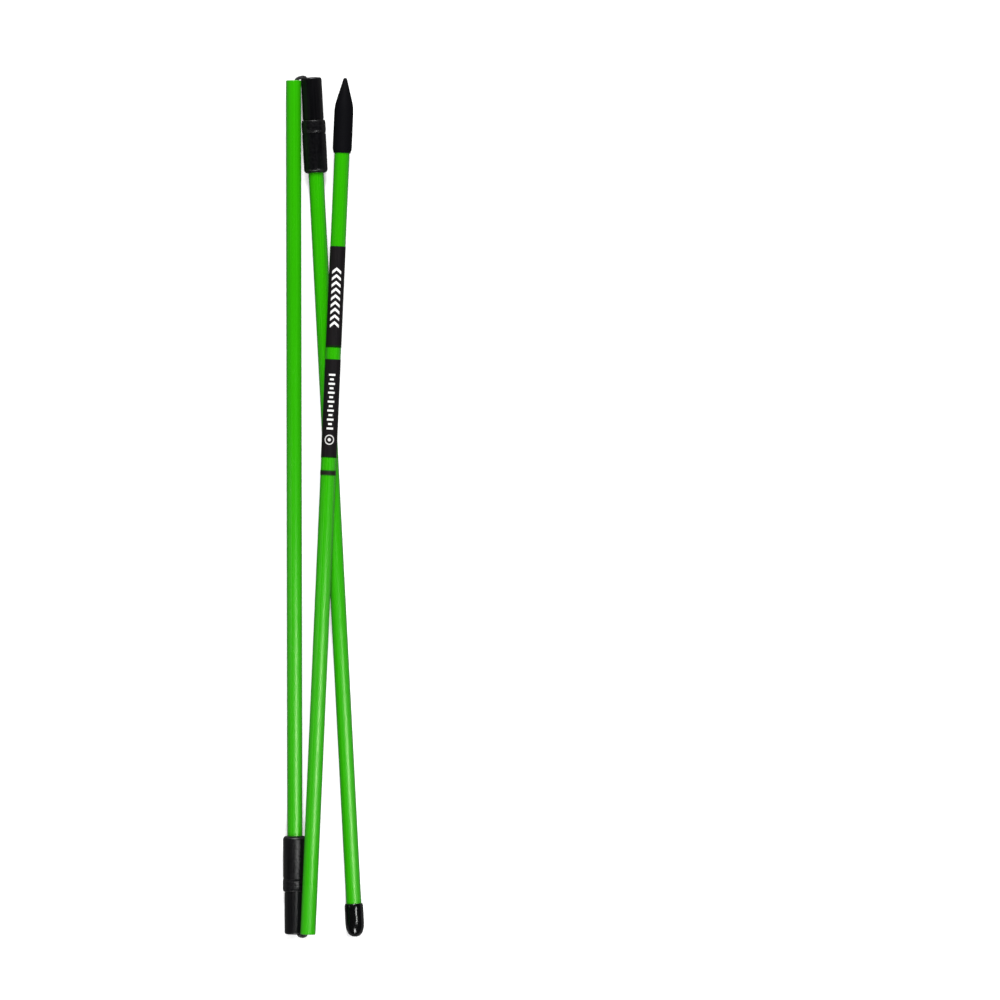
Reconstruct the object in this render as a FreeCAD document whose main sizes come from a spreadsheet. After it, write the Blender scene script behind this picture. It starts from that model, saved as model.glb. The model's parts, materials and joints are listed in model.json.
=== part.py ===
import FreeCAD, Part
import math
import os
import Sketcher

# Three-section folding alignment stick, lying folded on its side.
# Millimetres, +Z up, +Y along the bundle towards the point, origin under its middle.

doc = FreeCAD.newDocument("AlignmentStick")

# ---------------------------------------------------------------- driving dimensions
SIZES = [
    # tubes and cord
    ("tube_outer", 7.5),
    ("tube_bore", 4.3),
    ("tube_edge", 0.4),
    ("cord_thick", 1.8),
    ("cord_clear", 0.2),
    # couplers, counted from the open mouth
    ("socket_deep", 23.5),
    ("web_thick", 1.5),
    ("lower_glued_deep", 23.5),
    ("upper_glued_deep", 22.1),
    ("mouth_outer", 10.3),
    ("collar_outer", 11.9),
    ("sleeve_outer", 11.7),
    ("collar_wide", 6.4),
    ("collar_soft", 1.4),
    ("collar_fall", 0.25),
    ("groove_wide", 0.5),
    ("groove_deep", 0.25),
    ("socket_bore", 7.6),
    ("lead_in", 0.35),
    ("web_hole", 3.2),
    ("coupler_edge", 0.7),
    # pointed tip
    ("tip_long", 37.0),
    ("tip_cone_long", 14.1),
    ("tip_outer", 9.45),
    ("tip_nose", 1.57),
    ("tip_nose_round", 0.75),
    ("tip_shoulder_round", 22.0),
    ("tip_mouth", 8.2),
    ("tip_lip", 2.0),
    ("tip_lip_round", 4.0),
    ("tip_grip", 17.0),
    # rounded end cap
    ("cap_long", 16.4),
    ("cap_outer", 9.3),
    ("cap_mouth", 8.6),
    ("cap_lip", 1.5),
    ("cap_crown_long", 3.8),
    ("cap_crown_wide", 3.85),
    ("cap_side_round", 7.2),
    ("cap_end_round", 3.6),
    ("cap_grip", 7.5),
    # cord anchors
    ("washer_thick", 1.0),
    ("washer_outer", 7.0),
    ("washer_hole", 2.3),
    ("knot_thick", 4.6),
    ("knot_room", 5.8),
    ("knot_deep", 4.8),
    # wraps round the tip section, counted from the point
    ("film_thick", 0.12),
    ("top_band_start", 83.0),
    ("top_band_long", 49.8),
    ("low_band_start", 138.6),
    ("low_band_long", 48.4),
    ("ring_start", 193.2),
    ("ring_long", 2.6),
    # the three sections and how they lie when folded
    ("middle_long", 420.9),
    ("tip_section_long", 421.8),
    ("end_section_long", 424.3),
    ("mouth_gap", 0.2),
    ("middle_x", -14.08),
    ("middle_y", -211.05),
    ("middle_z", 5.80),
    ("middle_heading", -0.085),
    ("middle_rise", 0.415),
    ("tip_x", -7.46),
    ("tip_y", -210.68),
    ("tip_z", 14.00),
    ("tip_heading", 2.50),
    ("tip_rise", -0.034),
    ("end_x", -6.09),
    ("end_y", 211.35),
    ("end_z", 6.05),
    ("end_heading", 177.053),
    ("end_rise", -0.170),
    # the cord where it turns over between two sections
    ("bend_deep", 9.0),
    ("lower_bend_level", 1.2),
    ("upper_bend_level", 1.5),
    ("bend_radius", 1.9),
    ("cord_joint", 200.0),
]

sheet = doc.addObject("Spreadsheet::Sheet", "Sizes")
for row, (alias, value) in enumerate(SIZES, start=1):
    sheet.set(f"A{row}", alias)
    sheet.set(f"B{row}", str(value))
    sheet.setAlias(f"B{row}", alias)
doc.recompute()


def size(formula):
    """The value of a formula in the sheet's aliases, such as 'tube_outer / 2'."""
    return float(sheet.evalExpression(formula))


def bound(formula):
    """The same formula as another object writes it, with each alias read from the sheet."""
    words = formula.replace("(", " ( ").replace(")", " ) ").split()
    names = {alias for alias, _ in SIZES}
    return " ".join(f"Sizes.{word}" if word in names else word for word in words)


# ---------------------------------------------------------------- where the sections lie
def direction(heading, rise):
    """Unit vector of a section: heading is turned from +Y towards +X, rise lifts it from level."""
    flat = math.cos(math.radians(rise))
    east = flat * math.sin(math.radians(heading))
    north = flat * math.cos(math.radians(heading))
    return FreeCAD.Vector(east, north, math.sin(math.radians(rise)))


def section(name):
    """Placement of a section: its own Z runs from its elbow end along the tube."""
    base = FreeCAD.Vector(size(f"{name}_x"), size(f"{name}_y"), size(f"{name}_z"))
    along = direction(size(f"{name}_heading"), size(f"{name}_rise"))
    return FreeCAD.Placement(base, FreeCAD.Rotation(FreeCAD.Vector(0, 0, 1), along))


MIDDLE = section("middle")
TIP = section("tip")
END = section("end")
UP = FreeCAD.Vector(0, 0, 1)


# ---------------------------------------------------------------- ways of making a sub-part
def turned(label, placement, outline, rounds=()):
    """A body revolved about its own Z axis.

    outline holds (radius, height) formulas in order round the half section.
    rounds holds ((radius, height), fillet) formulas for the circular edges to round.
    """
    body = doc.addObject("PartDesign::Body", label)
    body.Label = label
    plane = next(f for f in body.Origin.OriginFeatures if f.Role == "XZ_Plane")
    sketch = body.newObject("Sketcher::SketchObject", label + "_section")
    sketch.AttachmentSupport = [(plane, "")]
    sketch.MapMode = "FlatFace"
    corners = [FreeCAD.Vector(size(radius), size(height), 0) for radius, height in outline]
    count = len(corners)
    for index in range(count):
        sketch.addGeometry(Part.LineSegment(corners[index], corners[(index + 1) % count]), False)
    for index in range(count):
        sketch.addConstraint(Sketcher.Constraint("Coincident", index, 2, (index + 1) % count, 1))
    for index, (radius, height) in enumerate(outline):
        place(sketch, "DistanceX", index, radius, -2)
        place(sketch, "DistanceY", index, height, -1)
    revolution = body.newObject("PartDesign::Revolution", label + "_turned")
    revolution.Profile = sketch
    revolution.ReferenceAxis = (sketch, ["V_Axis"])
    revolution.Angle = 360
    doc.recompute()
    last = revolution
    for (radius, height), fillet in rounds:
        last = rounded(body, last, size(radius), size(height), fillet)
    sketch.Visibility = False
    body.Placement = placement
    return body


def place(sketch, kind, line, formula, axis):
    """Hold the start of a line at a distance from the sketch's origin, or on an axis at nought."""
    value = size(formula)
    if abs(value) < 1e-9:
        sketch.addConstraint(Sketcher.Constraint("PointOnObject", line, 1, axis))
        return
    index = sketch.addConstraint(Sketcher.Constraint(kind, -1, 1, line, 1, value))
    sketch.setExpression(f"Constraints[{index}]", bound(formula))


def rounded(body, base, radius, height, fillet):
    """Fillet the circular edge of base that has this radius at this height."""
    names = []
    for number, edge in enumerate(base.Shape.Edges, start=1):
        curve = edge.Curve
        if not isinstance(curve, Part.Circle):
            continue
        if abs(curve.Radius - radius) < 1e-4 and abs(curve.Center.z - height) < 1e-4:
            names.append(f"Edge{number}")
    feature = body.newObject("PartDesign::Fillet", f"{body.Label}_round")
    feature.Base = (base, names)
    feature.setExpression("Radius", bound(fillet))
    doc.recompute()
    return feature


def tube(label, placement, start, length):
    """A plain tube with both outer edges broken."""
    top = f"{start} + {length}"
    outline = [
        ("tube_bore / 2", f"{start} + tube_edge"),
        ("tube_bore / 2 + tube_edge", start),
        ("tube_outer / 2", start),
        ("tube_outer / 2", top),
        ("tube_bore / 2 + tube_edge", top),
        ("tube_bore / 2", f"{top} - tube_edge"),
    ]
    ends = [(("tube_outer / 2", start), "tube_edge"), (("tube_outer / 2", top), "tube_edge")]
    return turned(label, placement, outline, ends)


def coupler(label, placement, glued_deep):
    """A moulded joint sleeve: open socket, web with a cord hole, and the half glued to a tube."""
    low = "(socket_deep + web_thick / 2 - collar_wide / 2)"
    high = "(socket_deep + web_thick / 2 + collar_wide / 2)"
    whole = f"(socket_deep + web_thick + {glued_deep})"
    waist = "(mouth_outer / 2 - groove_deep)"
    crown = "(collar_outer / 2)"
    edge = f"({crown} - collar_fall)"
    groove = "(sleeve_outer / 2 - groove_deep)"
    outline = [
        ("socket_bore / 2 + lead_in", "0"),
        ("mouth_outer / 2", "0"),
        ("mouth_outer / 2", f"{low} - groove_wide"),
        (waist, f"{low} - groove_wide"),
        (waist, low),
        (edge, low),
        (crown, f"{low} + collar_soft"),
        (crown, f"{high} - collar_soft"),
        (edge, high),
        (groove, high),
        (groove, f"{high} + groove_wide"),
        ("sleeve_outer / 2", f"{high} + groove_wide"),
        ("sleeve_outer / 2", whole),
        ("tube_outer / 2", whole),
        ("tube_outer / 2", "socket_deep + web_thick"),
        ("web_hole / 2", "socket_deep + web_thick"),
        ("web_hole / 2", "socket_deep"),
        ("socket_bore / 2", "socket_deep"),
        ("socket_bore / 2", "lead_in"),
    ]
    rounds = [
        ((edge, low), "coupler_edge * 0.8"),
        ((edge, high), "groove_deep / 3"),
        ((crown, f"{low} + collar_soft"), "collar_soft * 2"),
        ((crown, f"{high} - collar_soft"), "collar_soft * 2"),
        (("mouth_outer / 2", "0"), "coupler_edge * 1.4"),
        (("sleeve_outer / 2", whole), "coupler_edge * 2.7"),
    ]
    return turned(label, placement, outline, rounds)


def wrap(label, start, length):
    """A thin band round the tip section's tube, its start counted from the point."""
    top = f"tip_section_long - {start}"
    foot = f"{top} - {length}"
    outline = [
        ("tube_outer / 2", foot),
        ("tube_outer / 2 + film_thick", foot),
        ("tube_outer / 2 + film_thick", top),
        ("tube_outer / 2", top),
    ]
    return turned(label, TIP, outline)


def washer(label, placement, start):
    """The flat ring at a tube's end that the cord's knot pulls against."""
    top = f"{start} + washer_thick"
    outline = [
        ("washer_hole / 2", start),
        ("washer_outer / 2", start),
        ("washer_outer / 2", top),
        ("washer_hole / 2", top),
    ]
    return turned(label, placement, outline)


def cord_run(label, placement, start, length):
    """A straight stretch of cord on a section's own axis."""
    run = doc.addObject("Part::Cylinder", label)
    run.Label = label
    run.setExpression("Radius", bound("cord_thick / 2"))
    run.setExpression("Height", bound(length))
    offset = FreeCAD.Placement(UP * size(start), FreeCAD.Rotation())
    run.Placement = placement.multiply(offset)
    return run


def cord_end(label, placement, start, knot_foot):
    """The last stretch of cord in a tube, and the stopper knot that ends it."""
    run = cord_run(label + "_run", FreeCAD.Placement(), start, f"{knot_foot} + knot_thick / 2 - {start}")
    knot = doc.addObject("Part::Sphere", label + "_knot")
    knot.setExpression("Radius", bound("knot_thick / 2"))
    knot.Placement.Base = UP * size(f"{knot_foot} + knot_thick / 2")
    whole = doc.addObject("Part::Fuse", label)
    whole.Label = label
    whole.Base = run
    whole.Tool = knot
    whole.Placement = placement
    return whole


def cord_bend(label, points, radii):
    """Cord through these points: straight runs joined by tangent arcs of these radii."""
    edges = []
    here = points[0]
    for index, radius in enumerate(radii, start=1):
        corner = points[index]
        before = (corner - points[index - 1]).normalize()
        after = (points[index + 1] - corner).normalize()
        half_turn = before.getAngle(after) / 2
        reach = radius * math.tan(half_turn)
        inward = (after - before).normalize()
        middle = corner + inward * (radius / math.cos(half_turn) - radius)
        arc_start = corner - before * reach
        arc_end = corner + after * reach
        edges.append(Part.LineSegment(here, arc_start).toShape())
        edges.append(Part.Arc(arc_start, middle, arc_end).toShape())
        here = arc_end
    edges.append(Part.LineSegment(here, points[-1]).toShape())
    path = Part.Wire(edges)
    thick = size("cord_thick")
    circle = Part.Circle(points[0], points[1] - points[0], thick / 2).toShape()
    solid = path.makePipeShell([Part.Wire([circle])], True, False)
    ideal = math.pi * thick * thick / 4 * path.Length
    print(f"{label}: radii {radii}, length {path.Length:.2f}, volume {solid.Volume / ideal:.4f} of ideal")
    feature = doc.addObject("Part::Feature", label)
    feature.Label = label
    feature.Shape = solid
    return feature


def elbow_side(end, out, other_end, shift, level):
    """The cord's corners in one section: on its axis, then moved over towards the other end."""
    deep = size("bend_deep")
    across = other_end - end
    aside = (across - out * across.dot(out)).normalize() * shift
    return [
        end - out * deep,
        end - out * (deep * 0.8),
        end - out * (deep * 0.33) + aside,
        end + out * level + aside,
    ]


def elbow(label, open_end, open_out, open_shift, far_end, far_out, far_shift):
    """The cord turning over from one section's end to the next one's.

    It leaves each bore on its axis, moves over to the side next to the other section,
    and turns down over the two rims. The shifts are how far it moves over.
    """
    level = size(label.removeprefix("cord_") + "_level")
    first = elbow_side(open_end, open_out, far_end, open_shift, level)
    second = elbow_side(far_end, far_out, open_end, far_shift, level)
    turn = size("bend_radius")
    gentle = turn * 1.5
    radii = [gentle, gentle, turn, turn, gentle, gentle]
    return cord_bend(label, first + second[::-1], radii)


def fold_axis(name, end, along, seat, outward):
    """Print the axis that swings a section's end onto the seat and turns it to point outward."""
    to_seat = seat - end
    axis = (outward - along).cross(to_seat).normalize()
    flat_along = along - axis * along.dot(axis)
    flat_out = outward - axis * outward.dot(axis)
    angle = math.atan2(flat_along.cross(flat_out).dot(axis), flat_along.dot(flat_out))
    if angle < 0:
        axis = axis * -1
        angle = -angle
    pivot = (end + seat) * 0.5 + axis.cross(to_seat) * (0.5 / math.tan(angle / 2))
    print(
        f"{name}: pivot {pivot.x:.5f} {pivot.y:.5f} {pivot.z:.5f}"
        f" axis {axis.x:.8f} {axis.y:.8f} {axis.z:.8f} angle {math.degrees(angle):.5f}"
    )


# ---------------------------------------------------------------- middle section
TUBE_START = "(socket_deep + web_thick)"

parts = [
    tube("middle_tube", MIDDLE, TUBE_START, f"(middle_long - {TUBE_START})"),
    coupler("lower_coupler", MIDDLE, "lower_glued_deep"),
    cord_run("cord_middle_run", MIDDLE, "bend_deep", "middle_long - 2 * bend_deep"),
]

# ---------------------------------------------------------------- tip section
TIP_TUBE_END = "(tip_section_long - tip_long + tip_grip)"
TIP_KNOT_FOOT = f"({TIP_TUBE_END} + washer_thick)"


def pointed_tip():
    """Moulded slip-on point, solid at the nose, hollow for the tube and the knot."""
    foot = "(tip_section_long - tip_long)"
    shoulder = "(tip_section_long - tip_cone_long)"
    roof = f"({TIP_KNOT_FOOT} + knot_deep)"
    outline = [
        ("0", roof),
        ("knot_room / 2", roof),
        ("knot_room / 2", TIP_KNOT_FOOT),
        ("tube_outer / 2", TIP_KNOT_FOOT),
        ("tube_outer / 2", foot),
        ("tip_mouth / 2", foot),
        ("tip_outer / 2", f"{foot} + tip_lip"),
        ("tip_outer / 2", shoulder),
        ("tip_nose / 2", "tip_section_long"),
        ("0", "tip_section_long"),
    ]
    rounds = [
        (("tip_outer / 2", shoulder), "tip_shoulder_round"),
        (("tip_nose / 2", "tip_section_long"), "tip_nose_round"),
        (("tip_outer / 2", f"{foot} + tip_lip"), "tip_lip_round"),
    ]
    return turned("pointed_tip", TIP, outline, rounds)


parts += [
    tube("tip_tube", TIP, "0", TIP_TUBE_END),
    pointed_tip(),
    wrap("top_wrap", "top_band_start", "top_band_long"),
    wrap("low_wrap", "low_band_start", "low_band_long"),
    wrap("marker_ring", "ring_start", "ring_long"),
    washer("tip_cord_washer", TIP, TIP_TUBE_END),
    cord_run("cord_tip_run", TIP, "bend_deep", "cord_joint - bend_deep"),
    cord_end("cord_tip_end", TIP, "cord_joint", TIP_KNOT_FOOT),
]

# ---------------------------------------------------------------- end section
END_TUBE_END = "(end_section_long - cap_long + cap_grip)"
END_KNOT_FOOT = f"({END_TUBE_END} + washer_thick)"


def end_cap():
    """Dip-moulded cap, open towards the tube and fully rounded at its closed end."""
    foot = "(end_section_long - cap_long)"
    crown = "(end_section_long - cap_crown_long)"
    roof = f"({END_KNOT_FOOT} + knot_deep)"
    outline = [
        ("0", roof),
        ("knot_room / 2", roof),
        ("knot_room / 2", END_KNOT_FOOT),
        ("tube_outer / 2", END_KNOT_FOOT),
        ("tube_outer / 2", foot),
        ("cap_mouth / 2", foot),
        ("cap_outer / 2", f"{foot} + cap_lip"),
        ("cap_outer / 2", crown),
        ("cap_crown_wide / 2", "end_section_long"),
        ("0", "end_section_long"),
    ]
    rounds = [
        (("cap_outer / 2", crown), "cap_side_round"),
        (("cap_crown_wide / 2", "end_section_long"), "cap_end_round"),
    ]
    return turned("end_cap", END, outline, rounds)


parts += [
    tube("end_tube", END, TUBE_START, f"({END_TUBE_END} - {TUBE_START})"),
    coupler("upper_coupler", END, "upper_glued_deep"),
    end_cap(),
    washer("end_cord_washer", END, END_TUBE_END),
    cord_run("cord_cap_run", END, "bend_deep", "cord_joint - bend_deep"),
    cord_end("cord_cap_end", END, "cord_joint", END_KNOT_FOOT),
]

# ---------------------------------------------------------------- the cord's two turns
middle_up = MIDDLE.Rotation.multVec(UP)
tip_up = TIP.Rotation.multVec(UP)
end_down = END.Rotation.multVec(UP)
lower_mouth = MIDDLE.Base
middle_top = MIDDLE.Base + middle_up * size("middle_long")
in_socket = size("socket_bore / 2 - cord_thick / 2 - cord_clear")
in_tube = size("tube_bore / 2 - cord_thick / 2 - cord_clear")

parts += [
    elbow("cord_lower_bend", lower_mouth, middle_up * -1, in_socket, TIP.Base, tip_up * -1, in_tube),
    elbow("cord_upper_bend", middle_top, middle_up, in_tube, END.Base, end_down * -1, in_socket),
]

gap = size("mouth_gap")
fold_axis("tip_fold", TIP.Base, tip_up, lower_mouth - middle_up * gap, middle_up * -1)
fold_axis("end_fold", END.Base, end_down, middle_top + middle_up * gap, middle_up)
print(f"plug_axis: {middle_up.x:.8f} {middle_up.y:.8f} {middle_up.z:.8f}")

# ---------------------------------------------------------------- check and export
doc.recompute()
for thing in doc.Objects:
    if "Invalid" in thing.State or "Error" in thing.State:
        raise RuntimeError(f"{thing.Label} failed: {thing.State}")

os.makedirs("parts", exist_ok=True)
box = FreeCAD.BoundBox()
for part in parts:
    shape = part.Shape
    if shape.isNull() or not shape.isValid():
        raise RuntimeError(f"{part.Label} has no valid shape")
    box.add(shape.BoundBox)
    shape.exportStep(f"parts/{part.Label}.step")
    print(f"{part.Label}: {len(shape.Solids)} solid, {shape.Volume:.1f} mm3")
print(f"x {box.XMin:.3f} {box.XMax:.3f}, y {box.YMin:.3f} {box.YMax:.3f}, z {box.ZMin:.3f} {box.ZMax:.3f}")
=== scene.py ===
# %% [markdown]
# # A folding alignment stick
# Golfers lay such a stick on the grass to see where they aim. Three fibreglass tubes plug into
# two black couplers, and an elastic cord runs through all of them, so that the stick folds up.
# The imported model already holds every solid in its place. This lesson keeps those solids, gives
# each one the surface of its real material, and models the small soft and moulded things that a
# turned solid can't show: the braid of the cord, the dipped cap, mould lines and film laps.

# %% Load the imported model
import json
import math

import bmesh
import bpy
from mathutils import Matrix, Vector


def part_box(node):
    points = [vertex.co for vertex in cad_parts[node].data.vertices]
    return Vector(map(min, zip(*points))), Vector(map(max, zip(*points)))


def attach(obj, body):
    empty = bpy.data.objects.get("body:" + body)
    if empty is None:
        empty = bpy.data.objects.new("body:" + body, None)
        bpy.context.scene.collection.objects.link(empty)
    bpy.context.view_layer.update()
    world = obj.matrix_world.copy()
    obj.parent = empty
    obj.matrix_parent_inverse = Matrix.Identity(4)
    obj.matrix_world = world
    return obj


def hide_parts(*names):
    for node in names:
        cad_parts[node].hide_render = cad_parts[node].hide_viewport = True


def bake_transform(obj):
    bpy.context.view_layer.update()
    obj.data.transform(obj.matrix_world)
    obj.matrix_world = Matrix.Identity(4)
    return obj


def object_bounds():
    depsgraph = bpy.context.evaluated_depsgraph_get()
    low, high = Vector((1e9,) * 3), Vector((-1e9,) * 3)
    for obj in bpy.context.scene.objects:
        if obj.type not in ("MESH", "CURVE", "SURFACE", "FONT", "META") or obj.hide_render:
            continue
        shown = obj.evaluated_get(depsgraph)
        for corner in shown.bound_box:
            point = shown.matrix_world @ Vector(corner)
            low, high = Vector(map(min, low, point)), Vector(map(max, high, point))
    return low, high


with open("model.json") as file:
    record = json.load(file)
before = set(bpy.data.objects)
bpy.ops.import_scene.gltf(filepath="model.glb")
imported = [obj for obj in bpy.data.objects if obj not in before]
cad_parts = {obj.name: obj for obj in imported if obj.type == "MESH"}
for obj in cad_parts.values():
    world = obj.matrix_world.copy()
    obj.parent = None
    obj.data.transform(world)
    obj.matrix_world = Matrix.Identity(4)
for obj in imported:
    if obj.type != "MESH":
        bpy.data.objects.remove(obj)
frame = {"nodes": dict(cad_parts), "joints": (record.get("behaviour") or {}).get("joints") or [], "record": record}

CAD_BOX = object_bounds()
MM = 0.001
nodes = frame["nodes"]
record = frame["record"]
box_in_mm = [[round(v / MM, 1) for v in corner] for corner in CAD_BOX]
print("solids:", len(nodes), "box in mm:", box_in_mm)

# %% [markdown]
# ## Where each section lies
# Every piece of the real stick is round about the line of its own tube. So one line for each
# section, with a direction that points to its side and one that points up, is all that later
# steps need. The directions come from the record: the plug joint slides along the middle
# section, and the two mounts point along the outer ones. The start of a line is the open end
# at the elbow, found from how far the section's solids reach.

# %% Lines of the three sections
MOUNTS = {mount["name"]: mount for mount in record["mounts"]}
JOINTS = {joint["name"]: joint for joint in frame["joints"]}


def section_line(tube, others, along):
    """The line of a section: its start, length, and the directions along, beside and above it."""
    low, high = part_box(tube)
    centre = (low + high) / 2
    along = Vector(along).normalized()
    side = Vector((0, 0, 1)).cross(along).normalized()
    reach = [(v.co - centre).dot(along) for n in (tube, *others) for v in nodes[n].data.vertices]
    return {
        "start": centre + along * min(reach),
        "length": max(reach) - min(reach),
        "along": along,
        "side": side,
        "up": along.cross(side),
    }


MIDDLE = section_line("middle_tube", ["lower_coupler"], JOINTS["tip_plug"]["axis"])
TIP = section_line("tip_tube", ["pointed_tip"], MOUNTS["ground_point"]["axis"])
END = section_line("end_tube", ["upper_coupler", "end_cap"], MOUNTS["end_cap_shank"]["axis"])
for title, line in (("middle", MIDDLE), ("tip", TIP), ("end", END)):
    print(title, "section:", round(line["length"] / MM, 1), "mm long")

# %% [markdown]
# ## Camera
# The stick lies on a table and is seen from straight above. A long lens a good way up keeps the
# tubes almost free of perspective. The bundle sits left of the middle of the view.

# %% Camera above the table
VIEW_WIDTH = 492.8 * MM
VIEW_ASIDE = 87.07 * MM
VIEW_BEYOND = 3.04 * MM
CAMERA_HEIGHT = 3.2
low, high = CAD_BOX
bundle = (low + high) / 2
camera = bpy.data.objects.new("camera", bpy.data.cameras.new("camera"))
bpy.context.scene.collection.objects.link(camera)
camera.location = (bundle.x + VIEW_ASIDE, bundle.y + VIEW_BEYOND, CAMERA_HEIGHT)
camera.data.lens = camera.data.sensor_width * (CAMERA_HEIGHT - bundle.z) / VIEW_WIDTH
camera.data.clip_end = 20
bpy.context.scene.camera = camera
bpy.context.scene.view_settings.view_transform = "Standard"
print("lens:", round(camera.data.lens, 1), "mm")

# %% [markdown]
# ## Table and light
# A plain white table top is enough. It is a shade darker to every ray that doesn't come straight
# from the camera, so that it throws less light back up at the dark pieces and the tubes' sides.
# The two large soft lights stand beyond the ends of the tubes. A tube mirrors only what is
# beside it, so these light it evenly and leave no streak. The streak along the lower half comes
# from a smaller panel, a little to the right of overhead, and a dim one gives the faint second.

# %% Table top
TABLE_SIZE = 9
TONE_HIDDEN, TONE_SEEN = 0.18, 0.92
GLOW_SEEN = 0.32

below_camera = (camera.location.x, camera.location.y, 0)
bpy.ops.mesh.primitive_plane_add(size=TABLE_SIZE, location=below_camera)
table_top = bpy.context.object
table_top.name = "table_top"
table_white = bpy.data.materials.new("table_white")
table_white.use_nodes = True
table_shader = table_white.node_tree.nodes["Principled BSDF"]
seen = table_white.node_tree.nodes.new("ShaderNodeLightPath").outputs["Is Camera Ray"]
for socket, hidden, shown in (
    ("Base Color", TONE_HIDDEN, TONE_SEEN),
    ("Emission Strength", 0.0, GLOW_SEEN),
):
    shade = table_white.node_tree.nodes.new("ShaderNodeMapRange")
    shade.inputs["To Min"].default_value = hidden
    shade.inputs["To Max"].default_value = shown
    table_white.node_tree.links.new(seen, shade.inputs["Value"])
    table_white.node_tree.links.new(shade.outputs["Result"], table_shader.inputs[socket])
table_shader.inputs["Emission Color"].default_value = (1, 1, 1, 1)
table_shader.inputs["Roughness"].default_value = 0.9
table_shader.inputs["Specular IOR Level"].default_value = 0.1
table_top.data.materials.append(table_white)


# %% Lights
WHITE = (1, 1, 1, 1)
SKY_STRENGTH = 0.02


def panel(name, place, target, size, watts):
    """A soft rectangular light at a place, turned to face a target."""
    light = bpy.data.lights.new(name, "AREA")
    light.shape = "RECTANGLE"
    light.size, light.size_y = size
    light.energy = watts
    made = bpy.data.objects.new(name, light)
    bpy.context.scene.collection.objects.link(made)
    made.location = place
    made.rotation_euler = (Vector(target) - Vector(place)).to_track_quat("-Z", "Y").to_euler()


for name, place, target, size, watts in (
    ("light_beyond_point", (0.09, 2.7, 2.5), (0.09, 0, 0), (1.0, 1.8), 165),
    ("light_beyond_cap", (0.09, -2.7, 2.5), (0.09, 0, 0), (1.0, 1.8), 96),
    ("streak_panel", (0.45, -0.175, 0.88), (0.0, -0.13, 0.01), (0.19, 0.17), 2.3),
    ("faint_panel", (-0.76, -0.05, 0.50), (0.0, -0.03, 0.01), (0.14, 0.12), 0.16),
):
    panel(name, place, target, size, watts)
sky = bpy.data.worlds.new("sky")
sky.use_nodes = True
sky.node_tree.nodes["Background"].inputs["Color"].default_value = WHITE
sky.node_tree.nodes["Background"].inputs["Strength"].default_value = SKY_STRENGTH
bpy.context.scene.world = sky

# %% [markdown]
# ## Tools for materials
# A material is a small tree of nodes. Three helpers keep the trees short to write: one adds a
# node and fills its sockets, one does arithmetic, and one turns a value into a soft step.
# `section_place` gives every material of a section the same coordinates: x beside the tube,
# y above it, and z along it from the elbow, all in millimetres. It starts from Object
# coordinates, so the pattern stays on the piece when the stick unfolds.

# %% Node helpers
def add(tree, kind, sockets=None, **settings):
    """A new shader node, with its settings made and its sockets filled or linked."""
    made = tree.nodes.new("ShaderNode" + kind)
    for name, value in settings.items():
        setattr(made, name, value)
    for name, value in (sockets or {}).items():
        if isinstance(value, bpy.types.NodeSocket):
            tree.links.new(value, made.inputs[name])
        else:
            made.inputs[name].default_value = value
    return made


def maths(tree, operation, *values):
    """The result of one arithmetic step."""
    return add(tree, "Math", dict(enumerate(values)), operation=operation).outputs[0]


def step(tree, value, start, end):
    """A mask that rises smoothly from 0 to 1 as the value goes from start to end."""
    sockets = {"Value": value, "From Min": start, "From Max": end}
    return add(tree, "MapRange", sockets, interpolation_type="SMOOTHSTEP").outputs["Result"]


def between(tree, value, start, end, soft):
    """A mask that is 1 where the value lies from start to end."""
    rising = step(tree, value, start - soft, start + soft)
    falling = step(tree, value, end + soft, end - soft)
    return maths(tree, "MULTIPLY", rising, falling)


def mixed(tree, factor, first, second):
    """One colour going over into another."""
    made = tree.nodes.new("ShaderNodeMix")
    made.data_type = "RGBA"
    for index, value in ((0, factor), (6, first), (7, second)):
        if isinstance(value, bpy.types.NodeSocket):
            tree.links.new(value, made.inputs[index])
        else:
            made.inputs[index].default_value = value
    return made.outputs[2]


def blended(tree, factor, first, second):
    """One number going over into another."""
    sockets = {"Value": factor, "To Min": first, "To Max": second}
    return add(tree, "MapRange", sockets).outputs["Result"]


def section_place(tree, line):
    """Object coordinates turned into a section's own, in millimetres."""
    turn = Matrix((line["side"], line["up"], line["along"]))
    sockets = {
        "Vector": add(tree, "TexCoord").outputs["Object"],
        "Location": turn @ line["start"] / -MM,
        "Rotation": turn.to_euler(),
        "Scale": (1 / MM, 1 / MM, 1 / MM),
    }
    return add(tree, "Mapping", sockets).outputs["Vector"]


def new_group(name, inputs, outputs):
    """An empty shader group with named sockets, and what comes in and goes out of it."""
    group = bpy.data.node_groups.new(name, "ShaderNodeTree")
    for label, kind, value in inputs:
        socket = group.interface.new_socket(label, in_out="INPUT", socket_type="NodeSocket" + kind)
        if value is not None:
            socket.default_value = value
    for label, kind in outputs:
        group.interface.new_socket(label, in_out="OUTPUT", socket_type="NodeSocket" + kind)
    come = group.nodes.new("NodeGroupInput").outputs
    go = group.nodes.new("NodeGroupOutput").inputs
    return group, come, go


def times(tree, first, second):
    """Two vectors multiplied number by number."""
    return add(tree, "VectorMath", {0: first, 1: second}, operation="MULTIPLY").outputs[0]


def use(tree, group, **sockets):
    """A group placed in a material, with its inputs filled. Spaces in names are underscores."""
    made = add(tree, "Group", node_tree=group)
    for name, value in sockets.items():
        socket = made.inputs[name.replace("_", " ")]
        if isinstance(value, bpy.types.NodeSocket):
            tree.links.new(value, socket)
        else:
            socket.default_value = value
    return made.outputs


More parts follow.
